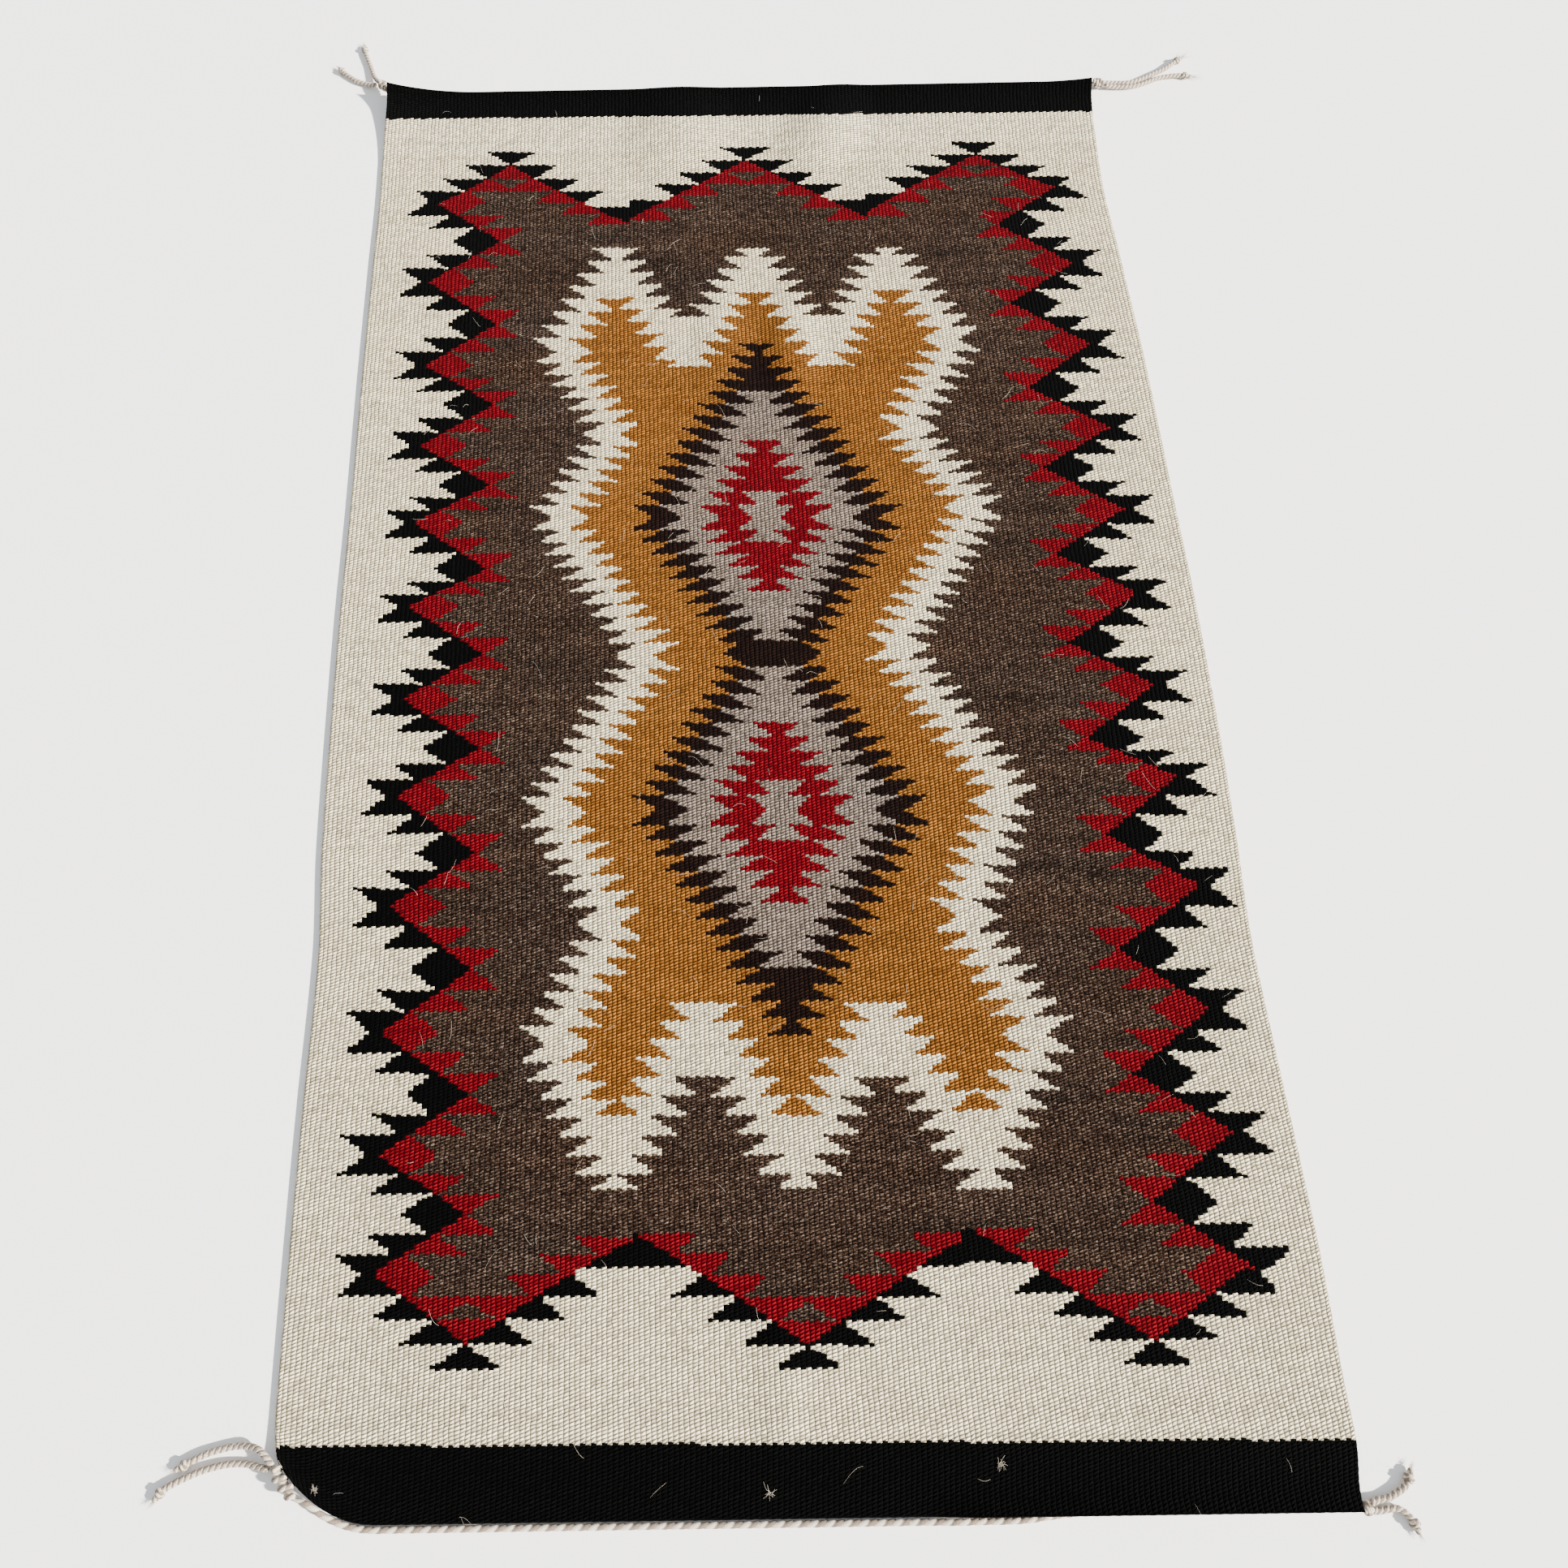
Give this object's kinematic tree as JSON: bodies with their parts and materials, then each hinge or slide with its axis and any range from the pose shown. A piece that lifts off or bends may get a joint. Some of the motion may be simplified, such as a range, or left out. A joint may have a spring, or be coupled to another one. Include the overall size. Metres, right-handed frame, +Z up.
{
  "type": "navajo rug",
  "caption": "Hand-woven wool floor rug lying flat, with serrated diamonds inside a black edge band, twined end cords and knotted two-ply tails at the corners.",
  "frame": {"origin": "middle of the woven web's flat underside, on the surface it lies on", "axes": "+X across the rug to the right of the picture, +Y along its length away from the camera, +Z up from the surface"},
  "size_m": [1.0007, 1.5437, 0.0261],
  "materials": {
    "patterned_wool": "matte",
    "cord_wool": "matte"
  },
  "bodies": {
    "root": {"web": "patterned_wool", "end_cord_near": "cord_wool", "end_cord_far": "cord_wool", "knot_near_left": "cord_wool", "knot_near_right": "cord_wool", "knot_far_left": "cord_wool", "knot_far_right": "cord_wool", "tail_near_left_upper": "cord_wool", "tail_near_left_lower": "cord_wool", "tail_near_right_upper": "cord_wool", "tail_near_right_lower": "cord_wool", "tail_far_left_upper": "cord_wool", "tail_far_left_lower": "cord_wool", "tail_far_right_upper": "cord_wool", "tail_far_right_lower": "cord_wool"}
  },
  "joints": []
}
